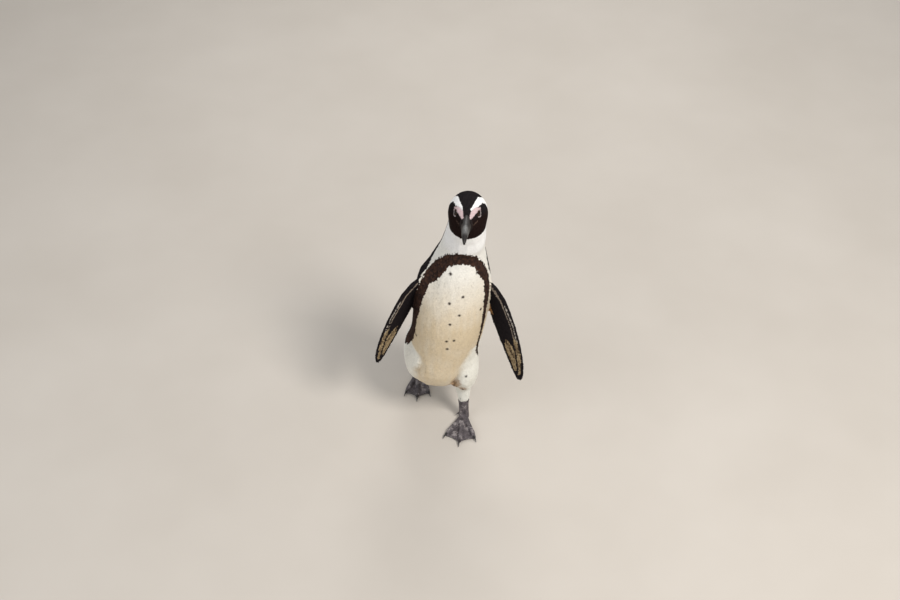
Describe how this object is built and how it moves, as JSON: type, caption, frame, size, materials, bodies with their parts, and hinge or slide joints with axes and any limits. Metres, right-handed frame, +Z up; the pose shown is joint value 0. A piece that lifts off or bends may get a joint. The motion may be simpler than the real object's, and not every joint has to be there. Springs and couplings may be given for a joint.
{
  "type": "african penguin",
  "caption": "Life-size African penguin in mid-stride on webbed feet, upright, flippers held out, head raised.",
  "frame": {"origin": "on the floor, under the middle of the bird's bounding box", "axes": "+Z up; the bird faces -Y and its left side is towards +X"},
  "size_m": [0.264, 0.2622, 0.5153],
  "materials": {
    "black_plumage": "short dense black feathers with a brown cast",
    "white_plumage": "short dense white feathers, cream towards the belly",
    "horn": "black horn with a grey band",
    "claw": "black horn",
    "foot_skin": "dark scaly skin with pale mottling",
    "eye": "wet dark brown eye"
  },
  "bodies": {
    "root": {"head": "black_plumage", "neck": "white_plumage", "trunk": "white_plumage", "tail": "black_plumage", "bill_upper": "horn", "bill_lower": "horn", "eye_left": "eye", "eye_right": "eye", "flipper_left": "black_plumage", "flipper_right": "black_plumage", "leg_left": "white_plumage", "leg_right": "white_plumage", "tarsus_left": "foot_skin", "tarsus_right": "foot_skin", "foot_left": "foot_skin", "foot_right": "foot_skin", "claw_left_inner": "claw", "claw_left_middle": "claw", "claw_left_outer": "claw", "claw_right_inner": "claw", "claw_right_middle": "claw", "claw_right_outer": "claw"}
  },
  "joints": []
}
